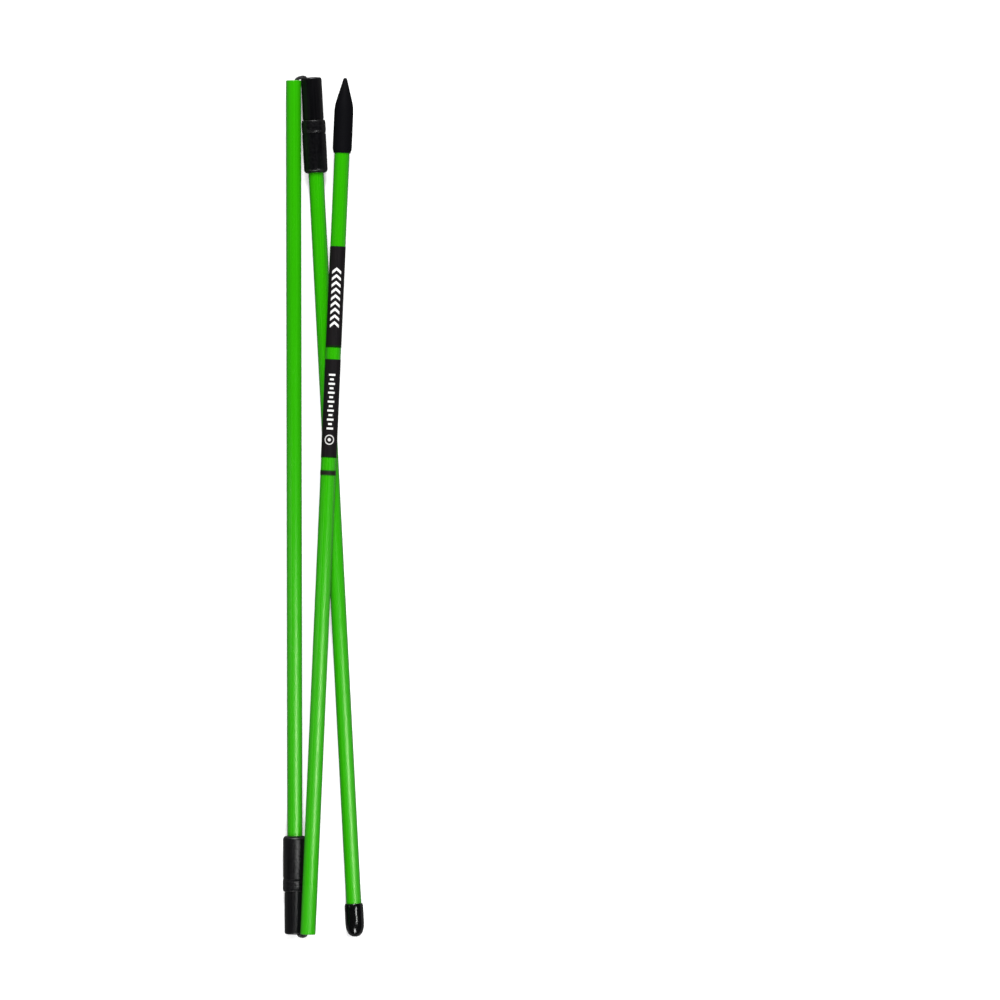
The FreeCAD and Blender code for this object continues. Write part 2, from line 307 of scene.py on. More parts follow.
# %% [markdown]
# ## Effects that several materials share
# The same few things happen to most of these surfaces. Drawing a tube through a die, or a
# sleeve off its core, leaves faint lines along it. Moulding leaves a fine grain. Hands and the
# bag leave hair scratches. Edges that rub go a little paler, and that paleness is partly rub
# wear and partly a painted glint on the proud edges. Each effect is one group that
# puts out a mask, so that every material can use it in its own strength.

# %% Lines along the piece
drawn_lines, come, go = new_group(
    "Drawn lines",
    [("Place", "Vector", None), ("Across", "Float", 1.6), ("Along", "Float", 0.02)],
    [("Mask", "Float")],
)
across, along = come["Across"], come["Along"]
stretch = add(drawn_lines, "CombineXYZ", {"X": across, "Y": across, "Z": along})
stretched = times(drawn_lines, come["Place"], stretch.outputs[0])
lines = add(drawn_lines, "TexNoise", {"Vector": stretched, "Scale": 1.0, "Detail": 4.0})
drawn_lines.links.new(step(drawn_lines, lines.outputs["Fac"], 0.3, 0.7), go["Mask"])

# %% Fine moulded grain
fine_grain, come, go = new_group(
    "Fine grain",
    [("Place", "Vector", None), ("Grain", "Float", 0.2), ("Detail", "Float", 2.0)],
    [("Mask", "Float")],
)
per_mm = maths(fine_grain, "DIVIDE", 1.0, come["Grain"])
sockets = {"Vector": come["Place"], "Scale": per_mm, "Detail": come["Detail"]}
grain = add(fine_grain, "TexNoise", sockets)
fine_grain.links.new(step(fine_grain, grain.outputs["Fac"], 0.25, 0.75), go["Mask"])

# %% Hair scratches from handling
hair_marks, come, go = new_group(
    "Hair marks",
    [("Place", "Vector", None), ("Length", "Float", 9.0), ("Amount", "Float", 0.3)],
    [("Mask", "Float")],
)
HAIRS_PER_MM = 5.0
HAIR_TILTS = (0.35, -0.5)
masks = []
for tilt in HAIR_TILTS:
    sockets = {"Vector": come["Place"], "Angle": tilt}
    turned = add(hair_marks, "VectorRotate", sockets, rotation_type="Y_AXIS")
    thin = maths(hair_marks, "DIVIDE", 1.0, come["Length"])
    shape = add(hair_marks, "CombineXYZ", {"X": HAIRS_PER_MM, "Y": HAIRS_PER_MM, "Z": thin})
    long = times(hair_marks, turned.outputs[0], shape.outputs[0])
    hairs = add(hair_marks, "TexNoise", {"Vector": long, "Scale": 1.0, "Detail": 1.0})
    masks.append(step(hair_marks, hairs.outputs["Fac"], 0.70, 0.76))
patches = add(hair_marks, "TexNoise", {"Vector": come["Place"], "Scale": 0.06, "Detail": 1.0})
where = step(hair_marks, patches.outputs["Fac"], 0.45, 0.65)
both = maths(hair_marks, "MAXIMUM", masks[0], masks[1])
patchy = maths(hair_marks, "MULTIPLY", both, where)
hair_marks.links.new(maths(hair_marks, "MULTIPLY", patchy, come["Amount"]), go["Mask"])

# %% Rubbed places with a painted glint, by how far they stand out from the section's line
rubbed_rim_and_glint, come, go = new_group(
    "Rubbed rim and painted glint",
    [("Place", "Vector", None), ("Radius", "Float", 5.9), ("Amount", "Float", 0.5)],
    [("Mask", "Float")],
)
apart = add(rubbed_rim_and_glint, "SeparateXYZ", {"Vector": come["Place"]}).outputs
across = maths(rubbed_rim_and_glint, "POWER", apart["X"], 2.0)
above = maths(rubbed_rim_and_glint, "POWER", apart["Y"], 2.0)
out = maths(rubbed_rim_and_glint, "SQRT", maths(rubbed_rim_and_glint, "ADD", across, above))
# Spots on the proud rim: rub wear, and a painted glint where the colour goes paler.
proud = step(rubbed_rim_and_glint, maths(rubbed_rim_and_glint, "SUBTRACT", out, come["Radius"]), -0.15, 0.2)
rub_and_glint_spots = add(rubbed_rim_and_glint, "TexNoise", {"Vector": come["Place"], "Scale": 1.1, "Detail": 3.0})
spotty = maths(rubbed_rim_and_glint, "MULTIPLY", proud, step(rubbed_rim_and_glint, rub_and_glint_spots.outputs["Fac"], 0.4, 0.7))
rubbed_rim_and_glint.links.new(maths(rubbed_rim_and_glint, "MULTIPLY", spotty, come["Amount"]), go["Mask"])
print("shared effects:", [group.name for group in bpy.data.node_groups])


# %% [markdown]
# ## Starting a material
# Each material ends in one Principled shader. Numbers that are the same all over, such as the
# strength of the reflection, go straight onto its sockets.

# %% Begin a material, and dress a solid in it
def begin(name, **constants):
    """A new material with its tree and its shader, and constants set on the shader."""
    made = bpy.data.materials.new(name)
    made.use_nodes = True
    tree = made.node_tree
    shader = tree.nodes["Principled BSDF"]
    for label, value in constants.items():
        shader.inputs[label.replace("_", " ")].default_value = value
    return made, tree, shader


def feed(tree, shader, colour, roughness, height, depth):
    """Colour, roughness and a bump of so many millimetres, led into a shader."""
    tree.links.new(colour, shader.inputs["Base Color"])
    tree.links.new(roughness, shader.inputs["Roughness"])
    bump = add(tree, "Bump", {"Height": height, "Distance": depth * MM, "Strength": 1.0})
    tree.links.new(bump.outputs["Normal"], shader.inputs["Normal"])


def total(tree, first, share, second, second_share):
    """Two values added, each in its share."""
    one = maths(tree, "MULTIPLY", first, share)
    other = maths(tree, "MULTIPLY", second, second_share)
    return maths(tree, "ADD", one, other)


def more(tree, value, mask, amount):
    """A value raised by an amount where a mask is 1."""
    return maths(tree, "ADD", value, maths(tree, "MULTIPLY", mask, amount))


def tinted(tree, colour, mask, amount, over):
    """A colour going over into another by an amount where a mask is 1."""
    return mixed(tree, maths(tree, "MULTIPLY", mask, amount), colour, over)


def place_in_mm(tree):
    """Object coordinates in millimetres."""
    sockets = {"Vector": add(tree, "TexCoord").outputs["Object"], "Scale": (1 / MM,) * 3}
    return add(tree, "Mapping", sockets).outputs["Vector"]


def dress(material, *names):
    """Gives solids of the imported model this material."""
    for name in names:
        nodes[name].material_slots[0].material = material
        print(name, "is now", material.name)


# %% [markdown]
# ## Green fibreglass
# The tubes are pultruded: glass fibres are drawn through green resin and a hot die. That leaves
# a satin gloss with faint lines along the tube, and a highlight that is wide across the tube
# and short along it. The shader's anisotropy does this, with its tangent running round the
# tube. The sawn ends show paler fibre, and the end that plugs in is rubbed by its socket.

# %% Fibreglass of a section
GREEN_DEEP = (0.0190, 0.325, 0.0003, 1)
GREEN_BRIGHT = (0.0250, 0.395, 0.0008, 1)
GREEN_RAW = (0.200, 0.560, 0.120, 1)
GREEN_SAWN = (0.09, 0.42, 0.04, 1)
GREEN_GLOSS = (0.85, 1.0, 0.60, 1)
FIBRE_ROUGHNESS = (0.255, 0.290)
FIBRE_BUMP = 0.003
SAW_DEPTH = 0.22
PLUG_LENGTH = JOINTS["tip_plug"]["range_m"][1] / MM


def fibreglass(name, line, sawn_at, rubbed):
    """Green tube. sawn_at is the height of its open sawn end, rubbed the stretch that plugs in."""
    made, tree, shader = begin(
        name, Specular_IOR_Level=0.85, Specular_Tint=GREEN_GLOSS, Anisotropic=0.95
    )
    place = section_place(tree, line)
    z = add(tree, "SeparateXYZ", {"Vector": place}).outputs["Z"]
    fibres = use(tree, drawn_lines, Place=place, Across=1.5, Along=0.012)["Mask"]
    grain = use(tree, fine_grain, Place=place, Grain=0.35, Detail=3.0)["Mask"]
    marks = use(tree, hair_marks, Place=place, Length=14.0, Amount=0.35)["Mask"]
    fade = add(tree, "TexNoise", {"Vector": place, "Scale": 0.02, "Detail": 2.0}).outputs["Fac"]
    tone = total(tree, fibres, 0.45, fade, 0.55)
    colour = mixed(tree, tone, GREEN_DEEP, GREEN_BRIGHT)
    colour = tinted(tree, colour, marks, 0.5, GREEN_RAW)
    sawn = between(tree, z, sawn_at - SAW_DEPTH, sawn_at + SAW_DEPTH, 0.06)
    ends = mixed(tree, grain, GREEN_SAWN, GREEN_RAW)
    colour = tinted(tree, colour, sawn, 0.8, ends)
    plugged = maths(tree, "MULTIPLY", between(tree, z, *rubbed, 1.5), fibres)
    roughness = blended(tree, fibres, *FIBRE_ROUGHNESS)
    roughness = more(tree, roughness, plugged, 0.07)
    roughness = more(tree, roughness, marks, 0.2)
    height = total(tree, fibres, 0.6, grain, 0.4)
    feed(tree, shader, colour, roughness, height, FIBRE_BUMP)
    tangent = add(tree, "Tangent", direction_type="RADIAL", axis="Y")
    tree.links.new(tangent.outputs["Tangent"], shader.inputs["Tangent"])
    return made


middle_end = MIDDLE["length"] / MM
dress(
    fibreglass("fibreglass_middle", MIDDLE, middle_end, (middle_end - PLUG_LENGTH, middle_end)),
    "middle_tube",
)
dress(fibreglass("fibreglass_tip", TIP, 0.0, (0.0, PLUG_LENGTH)), "tip_tube")
# The end section's tube has both ends covered, so its marks lie before the line's start.
NOWHERE = -5.0
dress(fibreglass("fibreglass_end", END, NOWHERE, (NOWHERE, NOWHERE + 1.0)), "end_tube")


# %% [markdown]
# ## Black nylon couplers
# The couplers are injection moulded. Spark-eroded tool steel gives them a fine satin grain, and
# the raised collar, which touches everything first, is rubbed glossier in spots. It is also
# painted a paler grey there, which is partly rub wear and partly a painted glint.

# %% Nylon of a coupler
NYLON_DARK = (0.0012, 0.0012, 0.0016, 1)
NYLON_LIGHT = (0.0040, 0.0038, 0.0046, 1)
# Grey of the collar's spots: partly rub wear, partly a painted glint.
NYLON_WORN_AND_GLINT = (0.030, 0.030, 0.032, 1)
NYLON_SCRATCHED = (0.035, 0.035, 0.036, 1)
NYLON_BUMP = 0.008


def nylon(name, line):
    """Satin black moulded nylon."""
    made, tree, shader = begin(name, Specular_IOR_Level=0.38, Anisotropic=0.9)
    place = section_place(tree, line)
    grain = use(tree, fine_grain, Place=place, Grain=0.13, Detail=3.0)["Mask"]
    pulls = use(tree, drawn_lines, Place=place, Across=1.1, Along=0.06)["Mask"]
    marks = use(tree, hair_marks, Place=place, Length=5.0, Amount=0.6)["Mask"]
    rub_and_glint_spots = use(tree, rubbed_rim_and_glint, Place=place, Radius=5.85, Amount=0.5)["Mask"]
    colour = mixed(tree, pulls, NYLON_DARK, NYLON_LIGHT)
    # Paler grey on the proud collar: partly rub wear, partly a painted glint.
    colour = tinted(tree, colour, rub_and_glint_spots, 0.5, NYLON_WORN_AND_GLINT)
    colour = tinted(tree, colour, marks, 0.5, NYLON_SCRATCHED)
    roughness = more(tree, blended(tree, grain, 0.27, 0.33), rub_and_glint_spots, -0.1)
    feed(tree, shader, colour, roughness, grain, NYLON_BUMP)
    tangent = add(tree, "Tangent", direction_type="RADIAL", axis="Y")
    tree.links.new(tangent.outputs["Tangent"], shader.inputs["Tangent"])
    return made


nylon_lower = nylon("nylon_lower", MIDDLE)
nylon_upper = nylon("nylon_upper", END)
dress(nylon_lower, "lower_coupler")
dress(nylon_upper, "upper_coupler")

# %% [markdown]
# ## Rubber point
# The point is pushed into turf. It is a dull, slightly grainy rubber with no clear highlight,
# scuffed a little at the nose.

# %% Rubber
RUBBER_DARK = (0.0022, 0.0022, 0.0030, 1)
RUBBER_LIGHT = (0.0044, 0.0043, 0.0054, 1)
RUBBER_SCUFFED = (0.022, 0.021, 0.020, 1)
RUBBER_SCRATCHED = (0.030, 0.030, 0.031, 1)
RUBBER_BUMP = 0.012
NOSE_LONG = 9

rubber, tree, shader = begin("dull_rubber", Specular_IOR_Level=0.03)
place = section_place(tree, TIP)
z = add(tree, "SeparateXYZ", {"Vector": place}).outputs["Z"]
grain = use(tree, fine_grain, Place=place, Grain=0.22, Detail=4.0)["Mask"]
marks = use(tree, hair_marks, Place=place, Length=3.0, Amount=0.7)["Mask"]
nose = step(tree, z, TIP["length"] / MM - NOSE_LONG, TIP["length"] / MM)
coarse = use(tree, fine_grain, Place=place, Grain=0.7, Detail=4.0)["Mask"]
scuffs = maths(tree, "MULTIPLY", nose, coarse)
colour = mixed(tree, grain, RUBBER_DARK, RUBBER_LIGHT)
colour = tinted(tree, colour, scuffs, 0.25, RUBBER_SCUFFED)
colour = tinted(tree, colour, marks, 0.3, RUBBER_SCRATCHED)
feed(tree, shader, colour, blended(tree, grain, 0.58, 0.70), grain, RUBBER_BUMP)
dress(rubber, "pointed_tip")

# %% [markdown]
# ## Printed film
# Two dark films are wrapped round the tip section, and a narrow stripe marks it below them. The
# print is plain: a row of chevrons on the upper film, and on the lower one a row of ticks with a
# ring. A pattern printed on a cylinder needs the length round the tube, which is the angle times
# the radius. Distances along the tube are counted from the point, as a golfer would.
# The upper film ends in a narrow clear margin, where the green shows through darkly.

# %% Coordinates on the film
FILM_RADIUS = 3.87
INK = (0.84, 0.84, 0.82, 1)
FILM_DARK = (0.0072, 0.0064, 0.0074, 1)
FILM_LIGHT = (0.0108, 0.0094, 0.0100, 1)
FILM_SCRATCHED = (0.05, 0.05, 0.05, 1)
THROUGH_FILM = (0.0026, 0.0270, 0.0008, 1)
FILM_BUMP = 0.004
UPPER_CLEAR_FROM = 131.9
LOWER_CLEAR_FROM = 186.5


def on_film(tree, line):
    """A section's coordinates, the length round from its top, and the distance from the point."""
    place = section_place(tree, line)
    apart = add(tree, "SeparateXYZ", {"Vector": place}).outputs
    angle = maths(tree, "ARCTAN2", apart["X"], apart["Y"])
    around = maths(tree, "MULTIPLY", angle, FILM_RADIUS)
    from_point = maths(tree, "SUBTRACT", line["length"] / MM, apart["Z"])
    return place, around, from_point


# %% The prints
def printed_bars(tree, row, pitch, stroke):
    """Bars that repeat at a pitch, each as wide as the stroke."""
    phase = maths(tree, "PINGPONG", maths(tree, "SUBTRACT", row, stroke / 2), pitch / 2)
    return step(tree, phase, stroke / 2 + 0.05, stroke / 2 - 0.05)


def chevrons(tree, around, from_point):
    """Nine chevrons that point towards the tip."""
    start, pitch, count, stroke = 93.4, 3.3, 9, 1.45
    slope, half_width = 0.8, 2.35
    aside = maths(tree, "ABSOLUTE", around)
    slanted = maths(tree, "SUBTRACT", from_point, maths(tree, "MULTIPLY", aside, slope))
    row = maths(tree, "SUBTRACT", slanted, start)
    bars = printed_bars(tree, row, pitch, stroke)
    inside = between(tree, row, -0.2, count * pitch - 0.9, 0.05)
    width = step(tree, aside, half_width + 0.05, half_width - 0.05)
    return maths(tree, "MULTIPLY", maths(tree, "MULTIPLY", bars, inside), width)


def ticks_and_ring(tree, around, from_point):
    """A row of ticks, every other one short, and a ring with a dot below it."""
    start, pitch, count, stroke = 145.8, 2.2, 13, 0.95
    long_half, short_half = 1.65, 0.95
    ring_at, ring_inner, ring_outer, dot = 178.2, 1.95, 2.45, 0.8
    aside = maths(tree, "ABSOLUTE", around)
    row = maths(tree, "SUBTRACT", from_point, start)
    bars = printed_bars(tree, row, pitch, stroke)
    slow = maths(tree, "PINGPONG", maths(tree, "SUBTRACT", row, stroke / 2), pitch)
    other = step(tree, slow, pitch / 2 - 0.1, pitch / 2 + 0.1)
    reach = blended(tree, other, long_half, short_half)
    width = step(tree, maths(tree, "SUBTRACT", aside, reach), 0.05, -0.05)
    inside = between(tree, row, -0.3, count * pitch - 0.8, 0.05)
    row_mask = maths(tree, "MULTIPLY", maths(tree, "MULTIPLY", bars, inside), width)
    drop = maths(tree, "SUBTRACT", from_point, ring_at)
    squares = maths(tree, "ADD", maths(tree, "POWER", drop, 2.0), maths(tree, "POWER", around, 2.0))
    away = maths(tree, "SQRT", squares)
    hoop = between(tree, away, ring_inner, ring_outer, 0.06)
    ring = maths(tree, "ADD", hoop, step(tree, away, dot + 0.05, dot - 0.05))
    return maths(tree, "ADD", row_mask, maths(tree, "MULTIPLY", ring, 0.8))


# %% Film material
def film(name, line, print_mask, clear_from):
    """Satin dark film with a pale print, clear beyond a distance from the point."""
    made, tree, shader = begin(name, Specular_IOR_Level=0.05)
    place, around, from_point = on_film(tree, line)
    grain = use(tree, fine_grain, Place=place, Grain=0.5, Detail=3.0)["Mask"]
    lines_along = use(tree, drawn_lines, Place=place, Across=0.9, Along=0.05)["Mask"]
    marks = use(tree, hair_marks, Place=place, Length=4.0, Amount=0.7)["Mask"]
    colour = mixed(tree, lines_along, FILM_DARK, FILM_LIGHT)
    colour = tinted(tree, colour, marks, 0.3, FILM_SCRATCHED)
    clear = step(tree, from_point, clear_from - 0.1, clear_from + 0.1)
    colour = mixed(tree, clear, colour, THROUGH_FILM)
    specks = use(tree, fine_grain, Place=place, Grain=0.16, Detail=2.0)["Mask"]
    speckle = blended(tree, specks, 0.86, 1.0)
    ink = maths(tree, "MULTIPLY", print_mask(tree, around, from_point), speckle)
    colour = mixed(tree, ink, colour, INK)
    roughness = more(tree, blended(tree, grain, 0.40, 0.50), marks, 0.2)
    feed(tree, shader, colour, roughness, maths(tree, "ADD", grain, ink), FILM_BUMP)
    return made


dress(film("film_chevrons", TIP, chevrons, UPPER_CLEAR_FROM), "top_wrap")
dress(film("film_ticks", TIP, ticks_and_ring, LOWER_CLEAR_FROM), "low_wrap")

# %% The narrow stripe, its edges a little thin
STRIPE_FROM_POINT = 193.2
STRIPE_WIDE = 2.6
STRIPE_THIN = (0.010, 0.105, 0.003, 1)
STRIPE_FULL = (0.0125, 0.0125, 0.0090, 1)

stripe, tree, shader = begin("stripe_paint", Specular_IOR_Level=0.12)
place = section_place(tree, TIP)
grain = use(tree, fine_grain, Place=place, Grain=0.3, Detail=3.0)["Mask"]
stripe_high = TIP["length"] / MM - STRIPE_FROM_POINT
stripe_low = stripe_high - STRIPE_WIDE
z = add(tree, "SeparateXYZ", {"Vector": place}).outputs["Z"]
full = between(tree, z, stripe_low + 0.35, stripe_high - 0.35, 0.25)
colour = mixed(tree, full, STRIPE_THIN, STRIPE_FULL)
feed(tree, shader, colour, blended(tree, grain, 0.36, 0.46), grain, FILM_BUMP)
dress(stripe, "marker_ring")

# %% [markdown]
# ## Steel and cord
# Inside each outer tube's closed end, a steel washer stops the cord's knot. They can't be seen
# while the stick is whole, but they are real, so they get real surfaces as well. The elastic
# cord has a core of rubber strands in a braided black sheath. Here a straight run of it gets
# the braid as bump, and as painted shade that is darker in the grooves between the yarns: two
# sets of lines that wind round it in opposite directions.

# %% Washer steel
STEEL_DARK = (0.42, 0.42, 0.43, 1)
STEEL_LIGHT = (0.60, 0.60, 0.61, 1)
STEEL_BUMP = 0.004

steel, tree, shader = begin("washer_steel", Metallic=1.0)
place = place_in_mm(tree)
grain = use(tree, fine_grain, Place=place, Grain=0.4, Detail=4.0)["Mask"]
marks = use(tree, hair_marks, Place=place, Length=2.0, Amount=1.0)["Mask"]
colour = mixed(tree, grain, STEEL_DARK, STEEL_LIGHT)
feed(tree, shader, colour, blended(tree, grain, 0.25, 0.4), marks, STEEL_BUMP)
dress(steel, "tip_cord_washer", "end_cord_washer")

# %% Braid on the straight cord runs
CORD_DARK = (0.0045, 0.0045, 0.0052, 1)
CORD_LIGHT = (0.0190, 0.0190, 0.0205, 1)
BRAID_LAY = 6.0
CARRIERS = 8
WEAVE_BUMP = 0.12


def braided(name, line):
    """Black braided sheath drawn on a straight run of cord, with painted shade in its grooves."""
    made, tree, shader = begin(
        name, Specular_IOR_Level=0.3, Sheen_Weight=0.3, Sheen_Roughness=0.5
    )
    place = section_place(tree, line)
    apart = add(tree, "SeparateXYZ", {"Vector": place}).outputs
    angle = maths(tree, "ARCTAN2", apart["X"], apart["Y"])
    turns = maths(tree, "DIVIDE", angle, 2 * math.pi)
    wound = maths(tree, "DIVIDE", apart["Z"], BRAID_LAY)
    ways = []
    for sign in ("ADD", "SUBTRACT"):
        strand = maths(tree, "MULTIPLY", maths(tree, sign, turns, wound), float(CARRIERS))
        wave = maths(tree, "SINE", maths(tree, "MULTIPLY", strand, math.pi))
        ways.append(maths(tree, "ABSOLUTE", wave))
    weave = maths(tree, "MULTIPLY", ways[0], ways[1])
    fuzz = use(tree, fine_grain, Place=place, Grain=0.08, Detail=2.0)["Mask"]
    # The tone follows the weave's height: darker in the grooves between yarns, which is painted shade.
    tone = maths(tree, "MULTIPLY", weave, blended(tree, fuzz, 0.5, 1.0))
    colour = mixed(tree, tone, CORD_DARK, CORD_LIGHT)
    feed(tree, shader, colour, blended(tree, fuzz, 0.65, 0.85), weave, WEAVE_BUMP)
    return made


dress(braided("braid_middle", MIDDLE), "cord_middle_run")
dress(braided("braid_tip", TIP), "cord_tip_end")
dress(braided("braid_end", END), "cord_cap_end")

# %% Yarn of the braid where it is modelled
YARN_BUMP = 0.02

yarn, tree, shader = begin(
    "braid_yarn", Specular_IOR_Level=0.35, Sheen_Weight=0.25, Sheen_Roughness=0.5
)
place = place_in_mm(tree)
fuzz = use(tree, fine_grain, Place=place, Grain=0.07, Detail=3.0)["Mask"]
patch = use(tree, fine_grain, Place=place, Grain=1.2, Detail=2.0)["Mask"]
tone = maths(tree, "MULTIPLY", fuzz, blended(tree, patch, 0.6, 1.0))
colour = mixed(tree, tone, CORD_DARK, CORD_LIGHT)
feed(tree, shader, colour, blended(tree, fuzz, 0.55, 0.75), fuzz, YARN_BUMP)

# %% [markdown]
# ## The cord at the two elbows
# Folded, the cord leaves one tube, turns over the two rims and goes down into the next. Each
# turn is modelled with its real braid, eight yarns wound one way and eight the other, each
# passing over one and under one. A smooth NURBS spline through the route's points gives the
# line. A yarn winds round that line, and its distance from the line rises and falls once for
# every two yarns that it crosses.

# %% The line of a turn
BEND_DEEP = 9.0 * MM


def elbow_side(end, outward, other_end, aside, level):
    """Route points in one section: on its line, then moved over towards the other section."""
    across = other_end - end
    over = (across - outward * across.dot(outward)).normalized() * aside
    return [
        end - outward * BEND_DEEP,
        end - outward * BEND_DEEP * 0.8,
        end - outward * BEND_DEEP * 0.33 + over,
        end + outward * level + over,
    ]


def smooth_line(name, route):
    """Points along a NURBS spline that has the route's points as its control points."""
    curve = bpy.data.curves.new(name, "CURVE")
    curve.dimensions = "3D"
    curve.resolution_u = 40
    spline = curve.splines.new("NURBS")
    spline.points.add(len(route) - 1)
    for point, place in zip(spline.points, route):
        point.co = (*place, 1)
    spline.order_u = 3
    spline.use_endpoint_u = True
    holder = bpy.data.objects.new(name, curve)
    bpy.context.scene.collection.objects.link(holder)
    bpy.context.view_layer.update()
    smooth = holder.evaluated_get(bpy.context.evaluated_depsgraph_get())
    mesh = bpy.data.meshes.new_from_object(smooth)
    points = [v.co.copy() for v in mesh.vertices]
    bpy.data.objects.remove(holder)
    bpy.data.curves.remove(curve)
    bpy.data.meshes.remove(mesh)
    return points


def resampled(points, spacing):
    """The same line in even steps: its points, their directions ahead and beside, its length."""
    walked = [0.0]
    for before, after in zip(points, points[1:]):
        walked.append(walked[-1] + (after - before).length)
    count = max(2, round(walked[-1] / spacing))
    line, k = [], 0
    for i in range(count + 1):
        goal = walked[-1] * i / count
        while k < len(points) - 2 and walked[k + 1] < goal:
            k += 1
        share = (goal - walked[k]) / max(walked[k + 1] - walked[k], 1e-12)
        line.append(points[k].lerp(points[k + 1], min(share, 1.0)))
    ahead = [(line[min(i + 1, count)] - line[max(i - 1, 0)]).normalized() for i in range(count + 1)]
    beside = [ahead[0].orthogonal().normalized()]
    for i in range(1, count + 1):
        turn = ahead[i - 1].rotation_difference(ahead[i])
        beside.append((turn @ beside[-1]).normalized())
    return line, ahead, beside, walked[-1]


# %% The braid round a line
CORD_RADIUS = 0.9 * MM
YARN_WIDE = 0.24 * MM
YARN_THICK = 0.08 * MM
CRIMP = 0.05 * MM
CORE_CORNERS = 16
YARN_CORNERS = 6
TURN_SPACING = 0.14 * MM


def ring_of(centre, first, second, wide, thick, corners):
    """Corners of an ellipse about a centre."""
    angles = [2 * math.pi * k / corners for k in range(corners)]
    return [centre + first * (math.cos(a) * wide) + second * (math.sin(a) * thick) for a in angles]


def skin(bm, rings):
    """Faces between neighbouring rings, and a face at each end."""
    made = [[bm.verts.new(point) for point in ring] for ring in rings]
    for one, two in zip(made, made[1:]):
        for k in range(len(one)):
            after = (k + 1) % len(one)
            bm.faces.new((one[k], one[after], two[after], two[k])).smooth = True
    bm.faces.new(made[0][::-1])
    bm.faces.new(made[-1])


def braid(name, points, spacing=TURN_SPACING):
    """A braided cord along a line: a core, and sixteen flat yarns that cross over and under."""
    line, ahead, beside, length = resampled(points, spacing)
    bm = bmesh.new()
    core = CORD_RADIUS - 2 * YARN_THICK - CRIMP
    upward = [t.cross(n) for t, n in zip(ahead, beside)]
    thinned = zip(line[::2], beside[::2], upward[::2])
    skin(bm, [ring_of(p, n, u, core, core, CORE_CORNERS) for p, n, u in thinned])
    rate = 2 * math.pi / (BRAID_LAY * MM)
    middle = CORD_RADIUS - YARN_THICK - CRIMP
    gap = length / (len(line) - 1)
    for way in (1, -1):
        for k in range(CARRIERS):
            rings = []
            for i, (p, t, n, u) in enumerate(zip(line, ahead, beside, upward)):
                wound = rate * gap * i
                angle = 2 * math.pi * k / CARRIERS + way * wound
                outward = n * math.cos(angle) + u * math.sin(angle)
                round_about = (u * math.cos(angle) - n * math.sin(angle)) * way
                radius = middle + CRIMP * way * math.cos(CARRIERS * wound)
                run = (t + round_about * (rate * radius)).normalized()
                flat = run.cross(outward).normalized()
                at = p + outward * radius
                rings.append(ring_of(at, flat, outward, YARN_WIDE, YARN_THICK, YARN_CORNERS))
            skin(bm, rings)
    bmesh.ops.recalc_face_normals(bm, faces=bm.faces)
    mesh = bpy.data.meshes.new(name)
    bm.to_mesh(mesh)
    bm.free()
    made = bpy.data.objects.new(name, mesh)
    bpy.context.scene.collection.objects.link(made)
    mesh.materials.append(yarn)
    print(f"{name}: {length / MM:.1f} mm long, {len(mesh.polygons)} faces")
    return made


# %% The two turns
# Over a rim the cord keeps to the side of its bore nearest the other section: 2.7 mm off the
# line in a wide socket, 1.05 mm in a tube.
IN_SOCKET = 2.7 * MM
IN_TUBE = 1.05 * MM
LOWER_LEVEL = 0.95 * MM
UPPER_LEVEL = 0.8 * MM
lower_mouth = MIDDLE["start"]
middle_top = MIDDLE["start"] + MIDDLE["along"] * MIDDLE["length"]
lower_route = elbow_side(lower_mouth, -MIDDLE["along"], TIP["start"], IN_SOCKET, LOWER_LEVEL)
lower_route += elbow_side(TIP["start"], -TIP["along"], lower_mouth, IN_TUBE, LOWER_LEVEL)[::-1]
upper_route = elbow_side(middle_top, MIDDLE["along"], END["start"], IN_TUBE, UPPER_LEVEL)
upper_route += elbow_side(END["start"], -END["along"], middle_top, IN_SOCKET, UPPER_LEVEL)[::-1]

lower_turn = braid("lower_cord_turn", smooth_line("lower_line", lower_route))
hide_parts("cord_lower_bend")
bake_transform(lower_turn)
upper_turn = braid("upper_cord_turn", smooth_line("upper_line", upper_route))
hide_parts("cord_upper_bend")
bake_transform(upper_turn)

# %% The two straight runs that show when a section is pulled off its elbow
RUN_END = 200.0 * MM
RUN_SPACING = 0.25 * MM
for name, line, node, body in (
    ("tip_cord_run", TIP, "cord_tip_run", "tip_cord"),
    ("end_cord_run", END, "cord_cap_run", "end_cord"),
):
    ends = [line["start"] + line["along"] * reach for reach in (BEND_DEEP, RUN_END)]
    run = braid(name, ends, RUN_SPACING)
    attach(run, body)
    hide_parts(node)

# %% [markdown]
# ## The dipped cap
# The cap is made by dipping a warm rod into liquid vinyl. The skin that stays on it is glossy,
# rolls over softly at its open lip, and is never quite even. So the cap isn't turned here: a
# circle is extruded along the section ring by ring, closed at the end, and then pushed in and
# out a few hundredths of a millimetre by a cloud texture, which makes the highlight waver.

# %% Edit-mode helpers
def only(thing):
    """Makes this the only selected object, and the active one."""
    bpy.ops.object.select_all(action="DESELECT")
    thing.select_set(True)
    bpy.context.view_layer.objects.active = thing


